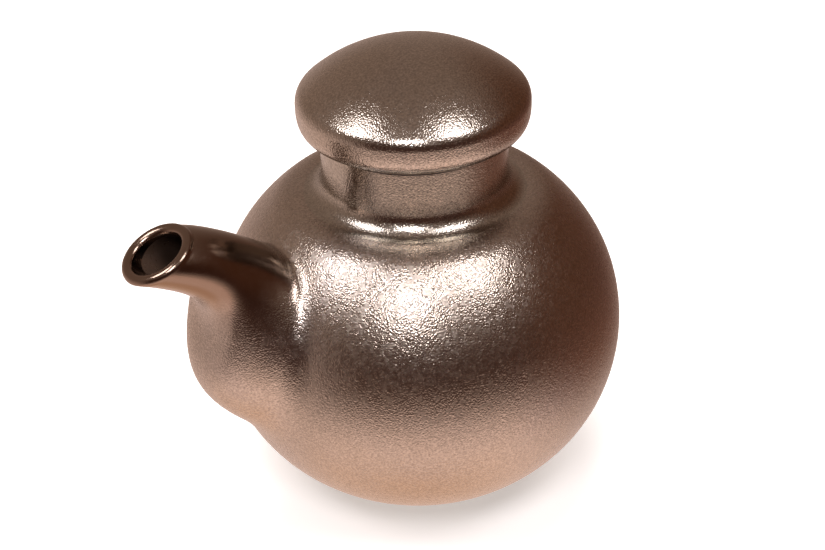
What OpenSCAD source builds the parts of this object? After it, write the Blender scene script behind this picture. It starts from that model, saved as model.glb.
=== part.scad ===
// Lidded stoneware pourer for sake or soy sauce: a round jar with a luted neck,
// foot and horn-shaped spout, and a mushroom cap that lifts off.
// Millimetres. Origin at the centre of the foot's resting plane, +Z up,
// the spout points along -X.

/* [Jar] */
// Widest diameter of the jar
jar_d = 100; // [96:1:106]
// Radius of the arc that the jar's side follows
side_r = 44; // [43:0.5:45]
// Height of the jar's widest ring above the table
jar_mid = 43; // [42.5:0.25:43.5]
// Radius of the arc that rounds the shoulder into the flat round the neck
shoulder_r = 11; // [9:0.5:13]
// Angle above the widest ring where the side's arc turns into the shoulder's
shoulder_turn = 50; // [48:1:53]
// Wall thickness of the jar
wall = 4; // [3.5:0.25:4.5]
// Diameter of the round hole behind the spout
pour_hole_d = 15; // [10:1:18]
// Height of the pour hole above the jar's widest ring
pour_hole_rise = 5; // [3:1:8]

/* [Foot ring] */
// Outer diameter of the foot ring
foot_d = 40; // [38:1:41]
// Width of the foot ring's resting band
foot_band = 4; // [3:0.5:6]
// Depth of the recess inside the foot ring
foot_recess = 1.5; // [1.25:0.25:2]

/* [Neck] */
// Outer diameter of the neck
neck_d = 44.5; // [43:0.5:46]
// Bore of the neck, where the lid's flange goes in
neck_bore = 36; // [34:0.5:37]
// Height of the lid's seat above the jar's widest ring
seat_rise = 53.2; // [51.2:0.2:56]
// Radius of the fillet where the neck meets the jar
neck_fillet = 4.9; // [3:0.1:5]
// Radius of the neck's rounded top edge
neck_edge = 1.8; // [1:0.2:2]
// Radius of the rounded edge inside the neck's mouth
bore_edge = 0.8; // [0.4:0.2:1]

/* [Lid] */
// Widest diameter of the lid
lid_d = 55.2; // [52:0.1:60]
// Height of the lid above its seat
lid_h = 19.8; // [18.4:0.1:22]
// Height of the lid's widest ring above its seat
lid_edge_h = 6.6; // [5.5:0.1:7]
// Radius of the lid's rounded edge, above the widest ring
lid_edge_r = 4.4; // [4.3:0.1:6]
// Diameter of the flat underside of the lid
lid_under_d = 45.2; // [44.5:0.1:47]
// Fullness of the curve under the lid's edge (2 is an ellipse)
lid_under_fullness = 3.2; // [2:0.1:4]
// Wall thickness of the lid
lid_wall = 3.8; // [3:0.1:4.2]

/* [Lid flange] */
// Radial clearance between the flange and the neck's bore
flange_gap = 0.4; // [0.3:0.05:0.8]
// Thickness of the flange
flange_t = 3; // [2.5:0.25:4]
// Depth of the flange below the seat
flange_depth = 12; // [8:0.5:12]

/* [Spout] */
// Wall thickness of the spout and its rounded lip
spout_wall = 2.8; // [2:0.1:3]
// Sections along the spout
spout_steps = 24; // [16:2:30]
// Points round each section
spout_sides = 36; // [24:4:48]

/* [Hidden] */
$fn = 128;

glaze = [0.36, 0.30, 0.26];
clay = [0.60, 0.47, 0.36];

jar_r = jar_d / 2;
side_offset = jar_r - side_r;
shoulder_x = side_offset + (side_r - shoulder_r) * cos(shoulder_turn);
shoulder_z = jar_mid + (side_r - shoulder_r) * sin(shoulder_turn);
jar_top = shoulder_z + shoulder_r;
seat_z = jar_mid + seat_rise;
neck_r = neck_d / 2;
bore_r = neck_bore / 2;
lid_r = lid_d / 2;
lid_under_r = lid_under_d / 2;
flange_r = bore_r - flange_gap;
flange_edge = 1;
lid_floor_t = 3.4;
far = 200;
under_steps = 16;
lip_steps = 6;

// Side view of the spout as cubic Bezier curves: distance from the jar's axis,
// and height above the jar's widest ring. The upper line runs from inside the
// jar to the top of the lip, the lower line round the belly of the root and
// out under the lip.
upper_line = [[36, 29.5], [41, 35], [53, 42.5], [59.8, 44.6]];
lower_line = [[34, -22.5], [93, 13], [31, 17], [75.8, 36.6]];
// Half of the spout's width along the same stretch
half_width = [24, 9, 12, 8.7];

// ---- Outlines ----

// A point on a cubic Bezier curve, and the curve's direction there
function bezier(p, t) =
    pow(1 - t, 3) * p[0] + 3 * pow(1 - t, 2) * t * p[1]
    + 3 * (1 - t) * t * t * p[2] + pow(t, 3) * p[3];
function bezier_dir(p, t) =
    pow(1 - t, 2) * (p[1] - p[0]) + 2 * (1 - t) * t * (p[2] - p[1])
    + t * t * (p[3] - p[2]);
function unit(v) = v / norm(v);
// The side of a curve that lies to the right of its direction
function right_of(v) = [v[1], -v[0]] / norm(v);

// What a rounded corner leaves outside, for a corner that points to +X and +Y
module corner_waste(r) {
    translate([-r, -r]) difference() {
        square(r + 1);
        circle(r = r);
    }
}

// Points along an arc
function arc(x, z, r, from, to, steps) = [
    for (i = [0 : steps])
        let (t = from + (to - from) * i / steps)
        [x + r * cos(t), z + r * sin(t)]
];

// Half outline of the jar, grown or shrunk by a margin and cut flat at the bottom:
// the side's arc, the shoulder's arc and the flat round the neck
module jar_outline(margin, bottom) {
    polygon(concat(
        [[0, bottom]],
        arc(side_offset, jar_mid, side_r + margin,
            -asin((jar_mid - bottom) / (side_r + margin)), shoulder_turn, 50),
        arc(shoulder_x, shoulder_z, shoulder_r + margin, shoulder_turn, 90, 12),
        [[0, jar_top + margin]]
    ));
}

// Half outline of the neck: it stands on the jar's flat, with a fillet at its root
module neck_outline() {
    polygon(concat(
        [[bore_r, jar_top]],
        arc(neck_r + neck_fillet, jar_top + neck_fillet, neck_fillet, 270, 180, 12),
        arc(neck_r - neck_edge, seat_z - neck_edge, neck_edge, 0, 90, 6),
        arc(bore_r + bore_edge, seat_z - bore_edge, bore_edge, 90, 180, 4)
    ));
}

// Dome and rounded edge of the lid, from the axis out to the widest ring, a margin
// inside the outer face
function dome(margin) =
    let (
        rise = lid_h - lid_edge_h,
        edge_x = lid_r - lid_edge_r,
        dome_r = (pow(edge_x, 2) + pow(rise, 2) - pow(lid_edge_r, 2)) / (2 * (rise - lid_edge_r)),
        turn = acos(edge_x / (dome_r - lid_edge_r))
    )
    concat(
        arc(0, seat_z + lid_h - dome_r, dome_r - margin, 90, turn, 24),
        arc(edge_x, seat_z + lid_edge_h, lid_edge_r - margin, turn, 0, 12)
    );

// Curve from the lid's widest ring in to its flat underside
function under_edge() = [
    for (i = [1 : under_steps])
        let (t = 90 * i / under_steps, power = 2 / lid_under_fullness)
        [
            lid_under_r + (lid_r - lid_under_r) * pow(cos(t), power),
            seat_z + lid_edge_h * (1 - pow(sin(t), power))
        ]
];

// Half outline of the cap, solid
module cap_outline() {
    polygon(concat([[0, seat_z]], dome(0), under_edge()));
}

// Half outline of the space inside the cap
module cap_hollow_outline() {
    floor_z = seat_z + lid_floor_t;
    polygon(concat([[0, floor_z]], dome(lid_wall), [[lid_r - lid_wall, floor_z]]));
}

// ---- Spout ----

// One section of the spout, between an upper and a lower point of the side view
function section(upper, lower, w) = [
    for (k = [0 : spout_sides - 1])
        let (a = 360 * k / spout_sides, m = (upper + lower) / 2, h = (upper - lower) / 2)
        [-(m[0] + h[0] * cos(a)), w * sin(a), jar_mid + m[1] + h[1] * cos(a)]
];

// Sections of the skin that lies a margin inside the outer one. The margin is
// measured square to the side view's lines, and turns into the plane of the cut
// towards the tip.
function skin(margin) = [
    for (i = [0 : spout_steps])
        let (
            t = i / spout_steps,
            cut = pow(t, 8),
            upper = bezier(upper_line, t),
            lower = bezier(lower_line, t),
            down = unit(lower - upper),
            under_top = unit((1 - cut) * right_of(bezier_dir(upper_line, t)) + cut * down),
            over_floor = unit((cut - 1) * right_of(bezier_dir(lower_line, t)) - cut * down)
        )
        section(
            upper + margin * under_top,
            lower + margin * over_floor,
            bezier(half_width, t) - margin
        )
];

// Half-round lip that joins the two skins at the tip
lip_top = upper_line[3];
lip_low = lower_line[3];
lip_down = unit(lip_low - lip_top);
lip_out = -right_of(lip_down);
function lip() = [
    for (i = [1 : lip_steps - 1])
        let (
            a = 180 * i / lip_steps,
            inward = spout_wall / 2 * (1 - cos(a)),
            outward = spout_wall / 2 * sin(a) * lip_out
        )
        section(
            lip_top + inward * lip_down + outward,
            lip_low - inward * lip_down + outward,
            half_width[3] - inward
        )
];

// ---- Pieces ----

module body() {
    color(glaze) difference() {
        rotate_extrude() difference() {
            jar_outline(0, foot_recess);
            jar_outline(-wall, foot_recess + wall);
            translate([0, jar_mid]) square([bore_r, far]);
        }
        translate([0, 0, jar_mid + pour_hole_rise])
            rotate([0, -90, 0])
            cylinder(d = pour_hole_d, h = far);
    }
}

module neck_collar() {
    color(glaze) rotate_extrude() neck_outline();
}

module foot_ring() {
    color(clay) rotate_extrude() difference() {
        translate([foot_d / 2 - foot_band, 0]) square([foot_band, foot_recess]);
        translate([foot_d / 2, 0]) mirror([0, 1]) corner_waste(foot_recess / 3);
    }
}

module spout() {
    outer = skin(0);
    inner = skin(spout_wall);
    rings = concat(outer, lip(), [for (i = [spout_steps : -1 : 0]) inner[i]]);
    count = len(rings);
    color(glaze) difference() {
        polyhedron(
            points = [for (ring = rings) each ring],
            faces = [
                for (i = [0 : count - 1], k = [0 : spout_sides - 1])
                    let (
                        here = i * spout_sides,
                        next = (i + 1) % count * spout_sides,
                        j = (k + 1) % spout_sides
                    )
                    each [
                        [here + k, next + k, here + j],
                        [next + k, next + j, here + j]
                    ]
            ]
        );
        rotate_extrude() jar_outline(0, foot_recess);
    }
}

module lid_cap() {
    color(glaze) rotate_extrude() difference() {
        cap_outline();
        cap_hollow_outline();
        translate([0, seat_z]) square([flange_r - flange_t, lid_floor_t]);
    }
}

module lid_flange() {
    color(clay) rotate_extrude() difference() {
        translate([flange_r - flange_t, seat_z - flange_depth]) square([flange_t, flange_depth]);
        translate([flange_r, seat_z - flange_depth]) mirror([0, 1]) corner_waste(flange_edge);
    }
}

body();
neck_collar();
foot_ring();
spout();
lid_cap();
lid_flange();
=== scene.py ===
from math import acos, asin, atan2, cos, degrees, hypot, pi, radians, sin

import bmesh
import bpy
import numpy as np
from mathutils import Matrix, Vector, noise
from mathutils.bvhtree import BVHTree


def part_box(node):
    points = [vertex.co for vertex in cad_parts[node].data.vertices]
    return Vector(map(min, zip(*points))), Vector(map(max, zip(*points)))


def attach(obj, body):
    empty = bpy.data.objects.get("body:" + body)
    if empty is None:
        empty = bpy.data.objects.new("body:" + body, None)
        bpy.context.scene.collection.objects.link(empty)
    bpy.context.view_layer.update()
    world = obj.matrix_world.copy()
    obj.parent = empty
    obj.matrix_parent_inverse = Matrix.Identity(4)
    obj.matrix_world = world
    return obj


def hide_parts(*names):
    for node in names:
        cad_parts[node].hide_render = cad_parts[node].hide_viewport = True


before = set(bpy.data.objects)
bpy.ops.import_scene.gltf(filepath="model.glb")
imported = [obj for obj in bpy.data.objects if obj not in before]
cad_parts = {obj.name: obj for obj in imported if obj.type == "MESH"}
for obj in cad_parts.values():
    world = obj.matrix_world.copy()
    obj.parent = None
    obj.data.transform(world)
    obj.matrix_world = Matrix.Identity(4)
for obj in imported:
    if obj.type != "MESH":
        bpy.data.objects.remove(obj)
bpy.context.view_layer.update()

# A lidded stoneware pourer: jar, neck, foot and spout luted together, and a mushroom
# lid with a flange. Metres, +Z up along the jar's axis, the spout points along -X.

MM = 0.001

# ---- Sizes from the frame ----

JAR_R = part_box("body")[1].y
JAR_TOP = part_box("body")[1].z
FOOT_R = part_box("foot_ring")[1].x
FOOT_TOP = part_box("foot_ring")[1].z
SEAT_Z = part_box("lid_cap")[0].z
LID_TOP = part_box("lid_cap")[1].z
LID_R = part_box("lid_cap")[1].x
FLANGE_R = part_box("lid_flange")[1].x
FLANGE_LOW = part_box("lid_flange")[0].z

# ---- Sizes of the shapes inside those boxes ----

# The jar's side is an arc about its widest ring at JAR_MID. At SHOULDER_TURN degrees it
# passes into the tighter arc of the shoulder, which ends in the flat round the neck
JAR_MID = 43 * MM
SIDE_R = 44 * MM
SIDE_OFFSET = JAR_R - SIDE_R
SHOULDER_R = 11 * MM
SHOULDER_TURN = 50
SHOULDER_X = SIDE_OFFSET + (SIDE_R - SHOULDER_R) * cos(radians(SHOULDER_TURN))
SHOULDER_Z = JAR_TOP - SHOULDER_R
WALL = 4 * MM
POUR_HOLE_R = 7.5 * MM
POUR_HOLE_Z = JAR_MID + 5 * MM
POUR_HOLE_REACH = 40 * MM

# Let-ins are how far a luted piece goes into its neighbour, so that no gap shows
FOOT_BAND = 4 * MM
FOOT_LET_IN = 0.3 * MM

NECK_R = 22.25 * MM
FLANGE_PLAY = 0.4 * MM
BORE_R = FLANGE_R + FLANGE_PLAY
NECK_FILLET = 4.9 * MM
NECK_FILLET_SUNK = 0.02 * MM
NECK_LET_IN = 0.4 * MM
NECK_EDGE = 1.8 * MM
BORE_EDGE = 0.8 * MM

# The lid rests on the neck inside LID_REST_R and leaves a narrow gap under its edge, which shows
# as a dark line; the faces round that gap are also painted near-black as shade
LID_EDGE_Z = SEAT_Z + 6.6 * MM
LID_EDGE_R = 4.4 * MM
LID_UNDER_R = 22.6 * MM
LID_UNDER_FULLNESS = 3.2
LID_WALL = 3.8 * MM
LID_FLOOR_T = 3.4 * MM
LID_GAP = 0.7 * MM
LID_REST_R = 19.8 * MM
FLANGE_T = 3 * MM
FLANGE_EDGE = 1 * MM
FLANGE_LET_IN = 0.2 * MM

# Side view of the spout as cubic Bezier curves: distance from the jar's axis, and
# height above the jar's widest ring; then half of its width along the same stretch. Its
# skins start ROOT_DEPTH inside the jar's wall. TIP_TURN is the power that sets how late
# towards the tip the wall turns into the plane of the cut
UPPER_LINE = np.array([[36, 29.5], [41, 35], [53, 42.5], [59.8, 44.6]]) * MM
LOWER_LINE = np.array([[34, -22.5], [93, 13], [31, 17], [75.8, 36.6]]) * MM
HALF_WIDTH = np.array([24, 9, 12, 8.7]) * MM
SPOUT_WALL = 2.8 * MM
ROOT_DEPTH = 1.5 * MM
TIP_TURN = 8

# Fillet where the spout meets the jar: tight above, soft round the belly
BLEND_TOP = 2.2 * MM
BLEND_LOW = 3.4 * MM
BLEND_TOP_Z = JAR_MID + 22 * MM
BLEND_LOW_Z = JAR_MID - 6 * MM

# How far one skin dips under the other past their seam, and over what distance
SEAM_DIP = 0.15 * MM
SEAM_FADE = 1.2 * MM

# Hand-made unevenness of the clay: its depth, the length of its waves, the height over
# which it sets in, and where each axis reads the noise
WOBBLE = 0.08 * MM
WOBBLE_LENGTH = 26 * MM
WOBBLE_RISE = 12 * MM
WOBBLE_SHIFTS = (Vector((0.5, 0.5, 0.5)), Vector((31.5, 0.5, 0.5)), Vector((0.5, 47.5, 0.5)))

# Where the near-black painted shade begins: how far under the jar's outer skin, how far from the
# neck's bore and from the edge of the lid's gap, and how far above the roof of that gap
DARK_DEPTH = 0.5 * MM
DARK_MARGIN = 0.2 * MM
DARK_GAP_MARGIN = 0.1 * MM

# ---- Mesh density and tolerances ----

AROUND = 256
CROWDING = 0.6
SPOUT_SIDES = 112
SPOUT_STEPS = 96
LIP_STEPS = 14
UNDER_STEPS = 24
ROOT_HALVINGS = 30
FILLET_PASSES = 6
ON_AXIS = 1e-7
ON_JAR_SKIN = 0.01 * MM
ON_SPOUT_SKIN = 0.001 * MM

# ---- View and light ----

CAMERA_AZIMUTH = -32
CAMERA_ELEVATION = 32
CAMERA_DISTANCE = 0.45
CAMERA_ROLL = -1.49
CAMERA_SIDESTEP = 1.21 * MM
CAMERA_LENS = 79.56
TARGET = Vector((0, 0, JAR_MID + 11.25 * MM))


# ---- Outlines ----

def arc(x, z, r, start, stop, steps):
    """Points along an arc in the (radius, height) plane, from one angle to another."""
    angles = np.radians(np.linspace(start, stop, steps + 1))
    return [(x + r * cos(a), z + r * sin(a)) for a in angles]


def line(start, stop, steps):
    """Points along a straight line, without its last one."""
    return [tuple(np.array(start) + (np.array(stop) - start) * i / steps) for i in range(steps)]


def jar_arcs(margin, bottom):
    """The jar's side and shoulder, a margin outside the outer skin, from a height up
    to the flat round the neck, in to the mouth."""
    side_r = SIDE_R + margin
    low = -degrees(asin((JAR_MID - bottom) / side_r))
    top = JAR_TOP + margin
    return (
        arc(SIDE_OFFSET, JAR_MID, side_r, low, SHOULDER_TURN, 150)
        + arc(SHOULDER_X, SHOULDER_Z, SHOULDER_R + margin, SHOULDER_TURN, 90, 24)[1:]
        + line((SHOULDER_X, top), (BORE_R, top), 6)[1:] + [(BORE_R, top)]
    )


def jar_outline():
    """Underside, outer skin up to the mouth, down the bore, inner skin and floor."""
    floor_z = FOOT_TOP + WALL
    outer = jar_arcs(0, FOOT_TOP)
    inner = jar_arcs(-WALL, floor_z)[::-1]
    under = line((0, FOOT_TOP), outer[0], 12)
    floor = line(inner[-1], (0, floor_z), 12)[1:]
    return under + outer + inner + floor + [(0, floor_z)]


def neck_outline():
    """Ring with a fillet at its root, which is let into the flat of the jar."""
    dip = NECK_LET_IN
    fillet_x = NECK_R + NECK_FILLET
    fillet_z = JAR_TOP - NECK_FILLET_SUNK + NECK_FILLET
    return (
        [(BORE_R, JAR_TOP), (BORE_R + dip, JAR_TOP - dip), (fillet_x - dip, JAR_TOP - dip)]
        + arc(fillet_x, fillet_z, NECK_FILLET, 270, 180, 28)
        + line((NECK_R, fillet_z), (NECK_R, SEAT_Z - NECK_EDGE), 12)[1:]
        + arc(NECK_R - NECK_EDGE, SEAT_Z - NECK_EDGE, NECK_EDGE, 0, 90, 10)
        + arc(BORE_R + BORE_EDGE, SEAT_Z - BORE_EDGE, BORE_EDGE, 90, 180, 8)
    )


def dome(margin):
    """Dome and rounded edge of the lid, from the axis out to the widest ring."""
    rise = LID_TOP - LID_EDGE_Z
    edge_x = LID_R - LID_EDGE_R
    dome_r = (edge_x ** 2 + rise ** 2 - LID_EDGE_R ** 2) / (2 * (rise - LID_EDGE_R))
    turn = degrees(acos(edge_x / (dome_r - LID_EDGE_R)))
    return (
        arc(0, LID_TOP - dome_r, dome_r - margin, 90, turn, 40)
        + arc(edge_x, LID_EDGE_Z, LID_EDGE_R - margin, turn, 0, 24)[1:]
    )


def cap_outline():
    """Dome, soft edge, underside with a narrow gap over the neck's rim, and the hollow
    above the flange's ring."""
    under = []
    power = 2 / LID_UNDER_FULLNESS
    for i in range(1, UNDER_STEPS + 1):
        t = radians(90 * i / UNDER_STEPS)
        under.append((
            LID_UNDER_R + (LID_R - LID_UNDER_R) * max(cos(t), 0) ** power,
            LID_EDGE_Z - (LID_EDGE_Z - SEAT_Z) * sin(t) ** power,
        ))
    floor_z = SEAT_Z + LID_FLOOR_T
    hole_r = FLANGE_R - FLANGE_T
    inside = dome(LID_WALL)[::-1]
    gap_top = SEAT_Z + LID_GAP
    gap = line((LID_UNDER_R - LID_GAP, gap_top), (LID_REST_R + LID_GAP, gap_top), 4)
    return (
        dome(0) + under + gap
        + line((LID_REST_R, SEAT_Z), (hole_r, SEAT_Z), 6) + [(hole_r, SEAT_Z), (hole_r, floor_z)]
        + [(LID_R - LID_WALL, floor_z)] + inside
    )


def flange_outline():
    """Ring under the lid, with its lower edges rounded."""
    inner_r = FLANGE_R - FLANGE_T
    top = SEAT_Z + FLANGE_LET_IN
    low = FLANGE_LOW + FLANGE_EDGE
    return (
        line((FLANGE_R, top), (FLANGE_R, low), 8)
        + arc(FLANGE_R - FLANGE_EDGE, low, FLANGE_EDGE, 0, -90, 8)
        + arc(inner_r + FLANGE_EDGE, low, FLANGE_EDGE, -90, -180, 8)
        + line((inner_r, low), (inner_r, top), 8)[1:] + [(inner_r, top)]
    )


def foot_outline():
    """Low resting ring with rounded lower edges, let into the jar's underside."""
    edge = FOOT_TOP / 3
    inner_r = FOOT_R - FOOT_BAND
    top = FOOT_TOP + FOOT_LET_IN
    return (
        [(FOOT_R, top)] + arc(FOOT_R - edge, edge, edge, 0, -90, 8)
        + arc(inner_r + edge, edge, edge, -90, -180, 8) + [(inner_r, top)]
    )


# ---- Meshes ----

def turns():
    """Angles round the axis, closer together on the spout's side."""
    spread = np.linspace(0, 2 * pi, AROUND, endpoint=False)
    return pi + spread - CROWDING * np.sin(spread)


def revolve(outline):
    """An outline turned about the Z axis. One that ends on the axis gets poles there,
    any other is closed into a ring."""
    angles = turns()
    points, rings = [], []
    for r, z in outline:
        if r < ON_AXIS:
            rings.append([len(points)] * AROUND)
            points.append((0, 0, z))
        else:
            rings.append(list(range(len(points), len(points) + AROUND)))
            points += [(r * cos(a), r * sin(a), z) for a in angles]
    after = rings[1:] if outline[0][0] < ON_AXIS else rings[1:] + rings[:1]
    return np.array(points), grid_faces(rings, after)


def grid_faces(rings, after):
    """Quads between each ring and the one after it; triangles at a pole."""
    faces = []
    for ring, following in zip(rings, after):
        for i in range(len(ring)):
            j = (i + 1) % len(ring)
            corners = list(dict.fromkeys([ring[i], ring[j], following[j], following[i]]))
            if len(corners) > 2:
                faces.append(corners)
    return faces


def bezier(p, t):
    """The value of a cubic Bezier curve at t."""
    return (
        (1 - t) ** 3 * p[0] + 3 * (1 - t) ** 2 * t * p[1]
        + 3 * (1 - t) * t * t * p[2] + t ** 3 * p[3])


def bezier_dir(p, t):
    """The direction of a cubic Bezier curve at t."""
    return (
        (1 - t) ** 2 * (p[1] - p[0]) + 2 * (1 - t) * t * (p[2] - p[1])
        + t * t * (p[3] - p[2]))


def unit(v):
    """A vector at length 1."""
    return v / np.linalg.norm(v)


def right_of(v):
    """Unit vector a quarter turn clockwise from a flat one."""
    return unit(np.array([v[1], -v[0]]))


def section_point(upper, lower, width, angle):
    """A point of the elliptic section between two points of the side view."""
    middle = (upper + lower) / 2
    half = (upper - lower) / 2
    out, up = middle + half * cos(angle)
    return np.array([-out, width * sin(angle), JAR_MID + up])


def skin_point(t, angle, margin):
    """A point on the spout's skin, a margin inside the outer one. The margin turns
    into the plane of the cut towards the tip."""
    cut = t ** TIP_TURN
    upper = bezier(UPPER_LINE, t)
    lower = bezier(LOWER_LINE, t)
    down = unit(lower - upper)
    under_top = unit((1 - cut) * right_of(bezier_dir(UPPER_LINE, t)) + cut * down)
    over_floor = unit((cut - 1) * right_of(bezier_dir(LOWER_LINE, t)) - cut * down)
    return section_point(
        upper + margin * under_top, lower + margin * over_floor,
        bezier(HALF_WIDTH, t) - margin, angle)


def lip_point(around, angle):
    """A point on the half-round lip: around goes from 0, outside, to 1, inside."""
    top, low = UPPER_LINE[3], LOWER_LINE[3]
    down = unit(low - top)
    outward = SPOUT_WALL / 2 * sin(pi * around) * -right_of(down)
    inward = SPOUT_WALL / 2 * (1 - cos(pi * around))
    return section_point(
        top + inward * down + outward, low - inward * down + outward,
        HALF_WIDTH[3] - inward, angle)


def off_jar(p):
    """Distance outside the jar's outer skin, negative inside, and the direction it
    grows in, as a share outwards and a share upwards."""
    flat = hypot(p[0], p[1])
    if flat < SHOULDER_X and p[2] > SHOULDER_Z:
        return p[2] - JAR_TOP, (0.0, 1.0)
    x, z, r = SIDE_OFFSET, JAR_MID, SIDE_R
    if atan2(p[2] - JAR_MID, flat - SIDE_OFFSET) > radians(SHOULDER_TURN):
        x, z, r = SHOULDER_X, SHOULDER_Z, SHOULDER_R
    far = hypot(flat - x, p[2] - z)
    return far - r, ((flat - x) / far, (p[2] - z) / far)


def root_start(angle, margin):
    """How far along the spout its skin comes out of the jar, less the root's depth."""
    low, high = 0.0, 1.0
    for _ in range(ROOT_HALVINGS):
        middle = (low + high) / 2
        if off_jar(skin_point(middle, angle, margin))[0] < -ROOT_DEPTH:
            low = middle
        else:
            high = middle
    return low


def blend_width(z):
    """Width of the fillet between jar and spout at a height."""
    rise = min(max((z - BLEND_LOW_Z) / (BLEND_TOP_Z - BLEND_LOW_Z), 0), 1)
    return BLEND_LOW + (BLEND_TOP - BLEND_LOW) * rise * rise * (3 - 2 * rise)


def soft_union(a, b, width):
    """Distance to two solids joined with a fillet, and the share that the first has in
    its slope."""
    near = max(width - abs(a - b), 0) / width
    share = 1 - near / 2 if a < b else near / 2
    return min(a, b) - near * near * width / 4, share


def jar_field(p):
    """Distance outside the jar's plain skin, and the direction it grows in."""
    away, (out, up) = off_jar(p)
    flat = hypot(p.x, p.y)
    return away, Vector((p.x / flat * out, p.y / flat * out, up))


def spout_field(tree, p):
    """Distance outside the spout's plain skin, and the direction it grows in."""
    place, normal, _, away = tree.find_nearest(p)
    if away < ON_SPOUT_SKIN:
        return 0.0, normal
    if (p - place).dot(normal) < 0:
        away = -away
    return away, (p - place) / away


def into_fillet(point, tree, on_jar):
    """Moves a point of either skin onto the filleted union of both. Past the seam it
    dips just under the other piece."""
    p = Vector(point)
    width = blend_width(p.z)
    for _ in range(FILLET_PASSES):
        a, a_slope = jar_field(p)
        b, b_slope = spout_field(tree, p)
        value, share = soft_union(a, b, width)
        slope = a_slope * share + b_slope * (1 - share)
        past = (a - b if on_jar else b - a) / SEAM_FADE
        dip = SEAM_DIP * min(max(past, 0), 1)
        p -= slope * ((value + dip) / slope.length_squared)
    return p


def wobble(points):
    """Moves points by a slow, smooth field, so that no surface is machine-perfect. It
    fades out at the foot, which stays flat. The noise depends on the place alone, so every
    run gives the same shape."""
    moved = []
    for p in points:
        place = Vector(p)
        fade = min(max(place.z / WOBBLE_RISE, 0), 1)
        move = Vector([noise.noise(place / WOBBLE_LENGTH + shift) for shift in WOBBLE_SHIFTS])
        moved.append(place + move * (WOBBLE * fade))
    return moved


def make_piece(name, points, faces, body, nodes, materials, inside=None):
    """A smooth-shaded piece that rides a body and stands for CAD nodes. inside(face)
    picks the faces that take the second material."""
    mesh = bpy.data.meshes.new(name)
    mesh.from_pydata([tuple(p) for p in points], [], faces)
    for material in materials:
        mesh.materials.append(material)
    work = bmesh.new()
    work.from_mesh(mesh)
    bmesh.ops.recalc_face_normals(work, faces=work.faces)
    for face in work.faces:
        face.smooth = True
        if inside and inside(face):
            face.material_index = 1
    work.to_mesh(mesh)
    work.free()
    piece = bpy.data.objects.new(name, mesh)
    bpy.context.scene.collection.objects.link(piece)
    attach(piece, body)
    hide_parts(*nodes)
    return piece


def spout_grid():
    """Outer skin, half-round lip and inner skin of the spout as rings of points, each
    starting in the jar's wall."""
    angles = np.linspace(0, 2 * pi, SPOUT_SIDES, endpoint=False)

    def ring(i, margin, starts):
        s = i / SPOUT_STEPS
        return [skin_point(t + (1 - t) * s, a, margin) for t, a in zip(starts, angles)]

    outer_from = [root_start(a, 0) for a in angles]
    inner_from = [root_start(a, SPOUT_WALL) for a in angles]
    outer = [ring(i, 0, outer_from) for i in range(SPOUT_STEPS + 1)]
    lip = [[lip_point(i / LIP_STEPS, a) for a in angles] for i in range(1, LIP_STEPS)]
    inner = [ring(i, SPOUT_WALL, inner_from) for i in range(SPOUT_STEPS, -1, -2)]
    return np.array(outer + lip + inner)


def ring_faces(rings, closed):
    """Faces between rings of points that follow one another."""
    sides = rings.shape[1]
    index = [list(range(i * sides, (i + 1) * sides)) for i in range(len(rings))]
    return grid_faces(index if closed else index[:-1], index[1:] + index[:1])


def spout_tree():
    """Search tree over the spout's plain outer skin, carried on into the jar, with its
    faces turned outwards."""
    angles = np.linspace(0, 2 * pi, SPOUT_SIDES, endpoint=False)
    steps = np.linspace(0, 1, 2 * SPOUT_STEPS + 1)
    skin = np.array([[skin_point(t, a, 0) for a in angles] for t in steps])
    work = bmesh.new()
    points = [work.verts.new(p) for p in skin.reshape(-1, 3)]
    for face in ring_faces(skin, closed=False):
        work.faces.new([points[i] for i in face])
    work.faces.new(points[:SPOUT_SIDES])
    work.faces.new(points[-SPOUT_SIDES:])
    bmesh.ops.recalc_face_normals(work, faces=work.faces)
    tree = BVHTree.FromBMesh(work)
    work.free()
    return tree


def build_spout(rings, tree):
    """The spout's skin, drawn into the fillet near the jar."""
    raised = rings.copy()
    for i in range(SPOUT_STEPS + 1):
        for k in range(SPOUT_SIDES):
            if off_jar(rings[i, k])[0] < BLEND_LOW:
                raised[i, k] = into_fillet(rings[i, k], tree, on_jar=False)
    return raised.reshape(-1, 3), ring_faces(rings, closed=True)


def build_jar(tree):
    """The jar, with its outer skin drawn into the fillet round the spout's root."""
    points, faces = revolve(jar_outline())
    for n, point in enumerate(points):
        place = Vector(point)
        if place.x > -SIDE_OFFSET or abs(off_jar(place)[0]) > ON_JAR_SKIN:
            continue
        if tree.find_nearest(place, BLEND_LOW)[0] is None:
            continue
        inside = -spout_field(tree, place)[0]
        fade = min(max((SPOUT_WALL - inside) / SPOUT_WALL * 2, 0), 1)
        points[n] = place.lerp(into_fillet(place, tree, on_jar=True), fade)
    return points, faces


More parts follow.
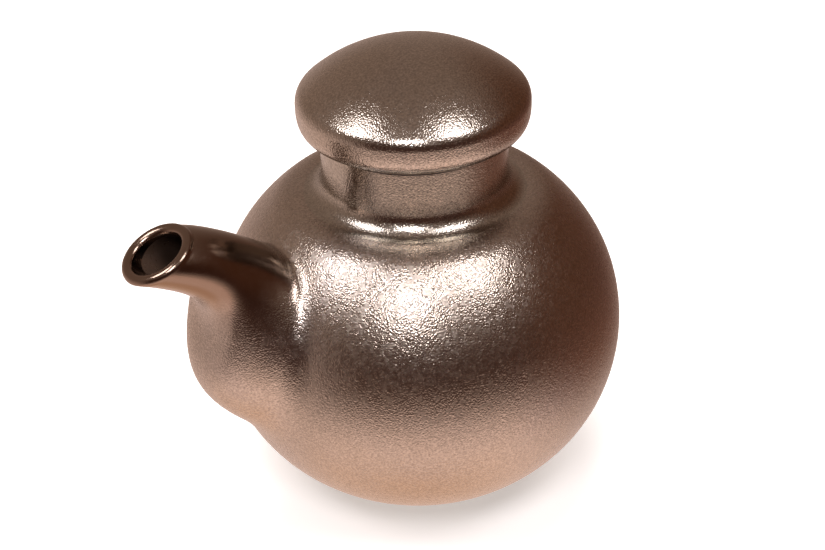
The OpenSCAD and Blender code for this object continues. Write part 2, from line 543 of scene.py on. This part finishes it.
def cut_pour_hole(jar):
    """Bores the round hole behind the spout."""
    cutter_mesh = bpy.data.meshes.new("pour_hole_cutter")
    work = bmesh.new()
    place = Matrix.Translation((-SIDE_R, 0, POUR_HOLE_Z)) @ Matrix.Rotation(pi / 2, 4, "Y")
    bmesh.ops.create_cone(
        work, cap_ends=True, segments=64, radius1=POUR_HOLE_R, radius2=POUR_HOLE_R,
        depth=POUR_HOLE_REACH, matrix=place)
    work.to_mesh(cutter_mesh)
    work.free()
    cutter = bpy.data.objects.new("pour_hole_cutter", cutter_mesh)
    bpy.context.scene.collection.objects.link(cutter)
    hole = jar.modifiers.new("pour_hole", "BOOLEAN")
    hole.operation = "DIFFERENCE"
    hole.solver = "EXACT"
    hole.object = cutter
    depsgraph = bpy.context.evaluated_depsgraph_get()
    bored = bpy.data.meshes.new_from_object(jar.evaluated_get(depsgraph))
    jar.modifiers.clear()
    jar.data = bored
    bored.name = "jar"
    bpy.data.objects.remove(cutter)
    bpy.data.meshes.remove(cutter_mesh)


# ---- Faces that take the near-black painted shade ----

def in_jar(face):
    """The inner skin, the bore and the underside within the foot ring."""
    return off_jar(face.calc_center_median())[0] < -DARK_DEPTH


def in_neck(face):
    """The rim, under the lid's gap, and the bore."""
    place = face.calc_center_median()
    return place.z > SEAT_Z - NECK_EDGE or place.xy.length < BORE_R + DARK_MARGIN


def in_cap(face):
    """The underside, from the flange out to the edge of the gap."""
    place = face.calc_center_median()
    low = place.z < SEAT_Z + LID_GAP + DARK_GAP_MARGIN
    return face.normal.z < 0 and low and place.xy.length < LID_UNDER_R - DARK_MARGIN


def in_spout(face):
    """The inner skin, which comes after the outer one and the lip."""
    return face.index // SPOUT_SIDES > SPOUT_STEPS + LIP_STEPS


# ---- Materials ----

class Nodes:
    """Short calls for making and joining shader nodes."""

    def __init__(self, tree):
        self.tree = tree
        tree.nodes.clear()

    def add(self, kind, inputs=None, **settings):
        """A node of a kind, its inputs set to values or joined to sockets."""
        node = self.tree.nodes.new("ShaderNode" + kind)
        for name, value in settings.items():
            setattr(node, name, value)
        for name, value in (inputs or {}).items():
            if isinstance(value, bpy.types.NodeSocket):
                self.tree.links.new(value, node.inputs[name])
            else:
                node.inputs[name].default_value = value
        return node

    def noise(self, place, length, detail=2.0, roughness=0.5):
        """Noise with features of a given length, in metres."""
        return self.add("TexNoise", {
            "Vector": place, "Scale": 1 / length, "Detail": detail, "Roughness": roughness,
        }).outputs["Fac"]

    def ramp(self, value, stops):
        """Colour ramp through (position, colour) stops."""
        node = self.add("ValToRGB", {"Fac": value})
        elements = node.color_ramp.elements
        while len(elements) < len(stops):
            elements.new(0.5)
        for element, (position, colour) in zip(elements, stops):
            element.position = position
            element.color = (*colour, 1)
        return node.outputs["Color"]

    def remap(self, value, low, high, to_low, to_high):
        """A value moved from one range to another, and held within it."""
        return self.add("MapRange", {
            "Value": value, "From Min": low, "From Max": high, "To Min": to_low, "To Max": to_high,
        }).outputs["Result"]

    def mix(self, factor, first, second, blend="MIX"):
        """Two colours mixed. Sockets 0, 6 and 7 are the factor and the colours."""
        node = self.add("Mix", data_type="RGBA", blend_type=blend)
        for socket, value in ((0, factor), (6, first), (7, second)):
            if isinstance(value, bpy.types.NodeSocket):
                self.tree.links.new(value, node.inputs[socket])
            else:
                node.inputs[socket].default_value = value if socket == 0 else (*value, 1)
        return node.outputs[2]

    def math(self, operation, first, second):
        """Two values taken together."""
        node = self.add("Math", operation=operation)
        for socket, value in enumerate((first, second)):
            if isinstance(value, bpy.types.NodeSocket):
                self.tree.links.new(value, node.inputs[socket])
            else:
                node.inputs[socket].default_value = value
        return node.outputs[0]

    def bump(self, height, depth):
        """Normal of a surface that rises by the depth, in metres, where height is 1."""
        inputs = {"Height": height, "Distance": depth, "Strength": 1.0}
        return self.add("Bump", inputs).outputs["Normal"]


def new_material(name):
    """An empty material, its nodes and the place on the object in metres."""
    material = bpy.data.materials.new(name)
    material.use_nodes = True
    nodes = Nodes(material.node_tree)
    place = nodes.add("TexCoord").outputs["Object"]
    return material, nodes, place


def surface(nodes, inputs):
    """Ends a material in a Principled shader."""
    shader = nodes.add("BsdfPrincipled", inputs)
    output = nodes.add("OutputMaterial")
    nodes.tree.links.new(shader.outputs["BSDF"], output.inputs["Surface"])


def lustre_glaze(name, tint, rough, grain, thin_shade_reach, thin_shade_rise):
    """Bronze lustre glaze: a metallic skin of fine crystals that sparkle in a lamp's reflection,
    with slow drifts in colour. Where the glaze runs thin at the spout's lip it is dark brown and
    smoother; the same dark brown over the rest of the spout's upper side, and over the jar beside
    it, is painted shade, where the glaze mirrors the dark jar. The mask fades in along -X over one
    stretch and up Z over another. rough is the range of roughness and grain the depth of the
    crystals."""
    # Dark brown of thin glaze, which over the spout's upper side stands for painted shade
    thin_shade_colour, thin_smoother, thin_grain = (0.25, 0.183, 0.142), 0.08, 0.015 * MM
    material, nodes, place = new_material(name)
    drift = nodes.ramp(nodes.noise(place, 28 * MM, 3), [
        (0.30, (0.44, 0.371, 0.310)), (0.55, (0.43, 0.371, 0.323)), (0.72, (0.41, 0.359, 0.329))])
    specks = nodes.remap(nodes.noise(place, 0.5 * MM, 1), 0.3, 0.7, 0.8, 1.2)
    thick = nodes.mix(1.0, nodes.mix(1.0, drift, tint, "MULTIPLY"), specks, "MULTIPLY")
    axes = nodes.add("SeparateXYZ", {"Vector": place})
    outward = nodes.remap(axes.outputs["X"], *thin_shade_reach, 0, 1)
    upward = nodes.remap(axes.outputs["Z"], *thin_shade_rise, 0, 1)
    thin_and_shade = nodes.math("MULTIPLY", outward, upward)
    # Dark brown where the mask is: thin glaze at the lip, painted shade over the rest of the
    # spout's upper side and the jar beside it
    colour = nodes.mix(thin_and_shade, thick, thin_shade_colour)
    fine = nodes.noise(place, 1.6 * MM, 1)
    roughness = nodes.math(
        "SUBTRACT", nodes.remap(fine, 0.3, 0.7, *rough),
        nodes.remap(thin_and_shade, 0, 1, 0, thin_smoother))
    depth = nodes.remap(thin_and_shade, 0, 1, grain, thin_grain)
    normal = nodes.bump(nodes.noise(place, 0.35 * MM, 0), depth)
    surface(nodes, {
        "Base Color": colour, "Metallic": 1.0, "Roughness": roughness, "Normal": normal})
    return material


def bare_clay():
    """Unglazed stoneware: matt, sandy, with dark and pale grains."""
    material, nodes, place = new_material("bare_clay")
    body = nodes.ramp(nodes.noise(place, 9 * MM, 4), [
        (0.3, (0.36, 0.22, 0.13)), (0.7, (0.47, 0.31, 0.19))])
    grain = nodes.remap(nodes.noise(place, 0.35 * MM, 2), 0.35, 0.65, 0.75, 1.15)
    colour = nodes.mix(1.0, body, grain, "MULTIPLY")
    normal = nodes.bump(nodes.noise(place, 0.5 * MM, 3), 0.05 * MM)
    surface(nodes, {
        "Base Color": colour, "Roughness": nodes.remap(grain, 0.7, 1.2, 0.95, 0.75),
        "Normal": normal})
    return material


def inside_shade_glaze():
    """Very dark brown, painted shade, inside the jar, neck and spout, on the neck's rim and under
    the lid's edge, where the hollows and the seam round the lid lie in shade.
    """
    material, nodes, place = new_material("inside_shade_glaze")
    colour = nodes.ramp(nodes.noise(place, 14 * MM, 4), [
        (0.3, (0.024, 0.014, 0.010)), (0.7, (0.045, 0.027, 0.018))])
    normal = nodes.bump(nodes.noise(place, 1.2 * MM, 2), 0.03 * MM)
    surface(nodes, {
        "Base Color": colour,
        "Roughness": nodes.remap(nodes.noise(place, 3 * MM, 2), 0.3, 0.7, 0.22, 0.4),
        "Normal": normal})
    return material


# ---- Stage ----

def around_object(azimuth, elevation):
    """Direction from the object. Azimuth 0 is away from the camera, 90 to its right."""
    heading = radians(CAMERA_AZIMUTH)
    ahead = Vector((-sin(heading), cos(heading), 0))
    right = Vector((cos(heading), sin(heading), 0))
    a, e = radians(azimuth), radians(elevation)
    return (ahead * cos(a) + right * sin(a)) * cos(e) + Vector((0, 0, sin(e)))


def add_camera():
    """Camera that looks at the target, with a small step aside and a slight roll."""
    data = bpy.data.cameras.new("camera")
    data.lens = CAMERA_LENS
    camera = bpy.data.objects.new("camera", data)
    bpy.context.scene.collection.objects.link(camera)
    back = around_object(180, CAMERA_ELEVATION)
    turn = back.to_track_quat("Z", "Y").to_matrix().to_4x4()
    right = turn.to_3x3() @ Vector((1, 0, 0))
    place = TARGET + CAMERA_DISTANCE * back - CAMERA_SIDESTEP * right
    camera.matrix_world = (
        Matrix.Translation(place) @ turn @ Matrix.Rotation(radians(CAMERA_ROLL), 4, "Z"))
    bpy.context.scene.camera = camera


def add_lamp(name, azimuth, elevation, distance, size, radiance, colour, glossy=True):
    """Round softbox that faces the object: its distance, its width and the radiance that
    its face shows."""
    data = bpy.data.lights.new(name, "AREA")
    data.shape = "DISK"
    data.size = size
    data.energy = radiance * pi * pi * size * size / 4
    data.color = colour
    lamp = bpy.data.objects.new(name, data)
    bpy.context.scene.collection.objects.link(lamp)
    out = around_object(azimuth, elevation)
    lamp.matrix_world = Matrix.Translation(TARGET + distance * out) @ (
        out.to_track_quat("Z", "Y").to_matrix().to_4x4())
    lamp.visible_camera = False
    lamp.visible_glossy = glossy


def add_floor():
    """Plain pale floor."""
    mesh = bpy.data.meshes.new("floor")
    half = 3.0
    mesh.from_pydata([(-half, -half, 0), (half, -half, 0), (half, half, 0), (-half, half, 0)],
                     [], [(0, 1, 2, 3)])
    material, nodes, _ = new_material("floor_paper")
    surface(nodes, {
        "Base Color": (0.93, 0.92, 0.90, 1), "Roughness": 0.9,
        "Emission Color": (1, 0.98, 0.95, 1), "Emission Strength": 0.45})
    mesh.materials.append(material)
    floor = bpy.data.objects.new("floor", mesh)
    bpy.context.scene.collection.objects.link(floor)
    floor.visible_glossy = False


def add_surroundings():
    """What the glaze mirrors beside the lamps: pale table below, dim room around and grey
    ceiling above, as ramps by height for the front, rear, right and left of the room. The
    camera sees plain white."""
    world = bpy.data.worlds.new("room")
    bpy.context.scene.world = world
    world.use_nodes = True
    nodes = Nodes(world.node_tree)
    look = nodes.add("TexCoord").outputs["Generated"]
    height = nodes.add("SeparateXYZ", {"Vector": look}).outputs["Z"]
    level = nodes.remap(height, -1, 1, 0, 1)

    def at(elevation, value, tint):
        """A stop of a ramp by height, at an elevation in degrees."""
        return ((sin(radians(elevation)) + 1) / 2, tuple(value * c for c in tint))

    warm, rust, dusk = (1, 0.74, 0.64), (1, 0.46, 0.32), (1, 0.71, 0.57)
    amber, bark = (1, 0.65, 0.46), (1, 0.43, 0.24)
    front = nodes.ramp(level, [
        at(-85, 1.15, amber), at(-66, 1.4, warm), at(-42, 1.38, warm), at(-32, 0.85, warm),
        at(-22, 0.34, warm), at(-12, 0.10, rust), at(-2, 0.075, rust), at(14, 0.08, rust),
        at(32, 0.25, dusk), at(70, 0.30, dusk)])
    rear = nodes.ramp(level, [
        at(-75, 1.15, amber), at(-50, 1.0, warm), at(-30, 0.62, warm), at(-10, 0.34, dusk),
        at(10, 0.33, dusk), at(60, 0.31, dusk)])
    right = nodes.ramp(level, [
        at(-75, 1.1, amber), at(-50, 0.62, warm), at(-30, 0.27, rust), at(-12, 0.16, rust),
        at(5, 0.14, bark), at(35, 0.14, bark), at(60, 0.24, dusk)])
    left = nodes.ramp(level, [
        at(-75, 1.15, amber), at(-50, 1.1, warm), at(-25, 0.85, warm), at(-5, 0.6, warm),
        at(10, 0.36, dusk), at(60, 0.31, dusk)])

    def towards(azimuth, low, high):
        """0 to 1 as the look turns towards an azimuth."""
        out = around_object(azimuth, 0)
        dot = nodes.add("VectorMath", {0: look, 1: tuple(out)}, operation="DOT_PRODUCT")
        return nodes.remap(dot.outputs["Value"], low, high, 0, 1)

    room = nodes.mix(towards(-20, -0.3, 0.6), front, rear)
    room = nodes.mix(towards(68, 0.45, 0.85), room, right)
    room = nodes.mix(towards(-68, 0.3, 0.8), room, left)
    seen = nodes.add("LightPath").outputs["Is Camera Ray"]
    colour = nodes.mix(seen, room, (1, 1, 1))
    background = nodes.add("Background", {"Color": colour, "Strength": 1.0})
    output = nodes.add("OutputWorld")
    nodes.tree.links.new(background.outputs[0], output.inputs["Surface"])


def add_lights():
    """Three soft lamps whose reflections the glaze shows, and one that only lights
    the floor."""
    daylight = (0.98, 0.96, 1.0)
    # Name, azimuth, elevation, distance, width, radiance, colour
    add_lamp("lamp_left", -173, 46, 0.5, 0.16, 14, daylight)
    add_lamp("lamp_side", -112, 51, 0.5, 0.20, 8, daylight)
    add_lamp("lamp_right", 129, 56, 0.5, 0.20, 8.5, daylight)
    add_lamp("floor_light", -30, 80, 1.2, 0.9, 6, (1, 1, 1), glossy=False)


bpy.context.scene.view_settings.view_transform = "Standard"

add_camera()
add_floor()
add_surroundings()
add_lights()

# Where the glaze runs thin at the lip, and where its dark brown is painted shade over the spout's
# upper side, along -X and up Z. On the spout itself this sets in closer to the axis and higher up
horn = ((-47 * MM, -57 * MM), (56 * MM, 68 * MM))
glaze = lustre_glaze("jar_glaze", (1, 1, 1), (0.23, 0.29), 0.095 * MM, *horn)
# The neck's and the lid's tints are painted reflection colour: they shift the pot's one glaze to
# the colour these parts show in their light
neck_glaze = lustre_glaze("neck_glaze", (0.92, 0.97, 0.97), (0.16, 0.22), 0.055 * MM, *horn)
lid_glaze = lustre_glaze("lid_glaze", (0.98, 1, 1), (0.16, 0.22), 0.065 * MM, *horn)
spout_glaze = lustre_glaze(
    "spout_glaze", (1, 1, 1), (0.22, 0.28), 0.09 * MM,
    (-34 * MM, -42 * MM), (62 * MM, 74 * MM))
clay = bare_clay()
# Very dark brown for the hollows and round the lid's gap: painted shade
shade_glaze = inside_shade_glaze()

spout_rings = spout_grid()
skin_tree = spout_tree()
jar_points, jar_faces = build_jar(skin_tree)
spout_points, spout_faces = build_spout(spout_rings, skin_tree)
neck_points, neck_faces = revolve(neck_outline())
foot_points, foot_faces = revolve(foot_outline())
cap_points, cap_faces = revolve(cap_outline())
flange_points, flange_faces = revolve(flange_outline())

jar = make_piece(
    "jar", wobble(jar_points), jar_faces, "vessel", ["body"],
    [glaze, shade_glaze], in_jar)
cut_pour_hole(jar)
make_piece(
    "neck", wobble(neck_points), neck_faces, "vessel", ["neck_collar"],
    [neck_glaze, shade_glaze], in_neck)
make_piece(
    "foot", foot_points, foot_faces, "vessel", ["foot_ring"], [clay])
make_piece(
    "spout", wobble(spout_points), spout_faces, "vessel", ["spout"],
    [spout_glaze, shade_glaze], in_spout)
make_piece(
    "cap", wobble(cap_points), cap_faces, "lid", ["lid_cap"],
    [lid_glaze, shade_glaze], in_cap)
make_piece(
    "flange", wobble(flange_points), flange_faces, "lid", ["lid_flange"], [clay])
